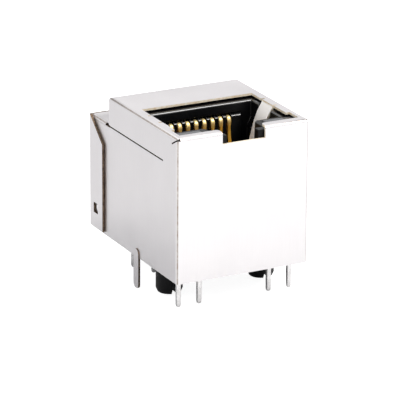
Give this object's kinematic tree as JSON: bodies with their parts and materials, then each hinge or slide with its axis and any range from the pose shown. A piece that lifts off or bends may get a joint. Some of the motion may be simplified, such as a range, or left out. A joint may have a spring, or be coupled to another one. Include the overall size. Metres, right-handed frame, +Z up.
{
  "type": "rj45 board jack",
  "caption": "Shielded top-entry modular jack with a latch-side port opening, gold spring contacts, two light emitters, locating pegs and a rear bay for its magnetics.",
  "frame": {"origin": "on the board's surface, midway between the two locating pegs", "axes": "+X across the jack to the right as seen from the latch side, +Y from the latch side to the rear bay, +Z up out of the board towards the port's mouth"},
  "size_m": [0.0166, 0.0215, 0.0202],
  "materials": {
    "nickel_sheet": "satin nickel plate",
    "black_plastic": "glossy moulded",
    "gold_plating": "polished",
    "tin_plating": "bright tin",
    "clear_resin": "clear, glossy",
    "circuit_board": "satin",
    "ferrite": "matte",
    "red_wire": "enamelled",
    "green_wire": "enamelled",
    "chip_ceramic": "matte",
    "capacitor_ceramic": "matte"
  },
  "bodies": {
    "root": {"front_shield": "nickel_sheet", "rear_shield": "nickel_sheet", "port_housing": "black_plastic", "contact_insert": "black_plastic", "contact_1": "gold_plating", "contact_2": "gold_plating", "contact_3": "gold_plating", "contact_4": "gold_plating", "contact_5": "gold_plating", "contact_6": "gold_plating", "contact_7": "gold_plating", "contact_8": "gold_plating", "led_left": "clear_resin", "led_right": "clear_resin", "led_left_outer_lead": "tin_plating", "led_left_inner_lead": "tin_plating", "led_right_inner_lead": "tin_plating", "led_right_outer_lead": "tin_plating", "pin_carrier": "black_plastic", "signal_pin_1": "tin_plating", "signal_pin_2": "tin_plating", "signal_pin_3": "tin_plating", "signal_pin_4": "tin_plating", "signal_pin_5": "tin_plating", "signal_pin_6": "tin_plating", "signal_pin_7": "tin_plating", "signal_pin_8": "tin_plating", "signal_pin_9": "tin_plating", "signal_pin_10": "tin_plating", "magnetics_board": "circuit_board", "transmit_transformer_core": "ferrite", "transmit_transformer_winding": "red_wire", "receive_transformer_core": "ferrite", "receive_transformer_winding": "green_wire", "transmit_choke_core": "ferrite", "transmit_choke_winding": "red_wire", "receive_choke_core": "ferrite", "receive_choke_winding": "green_wire", "line_resistor_1": "chip_ceramic", "line_resistor_2": "chip_ceramic", "line_resistor_3": "chip_ceramic", "line_resistor_4": "chip_ceramic", "isolation_capacitor": "capacitor_ceramic"}
  },
  "joints": []
}
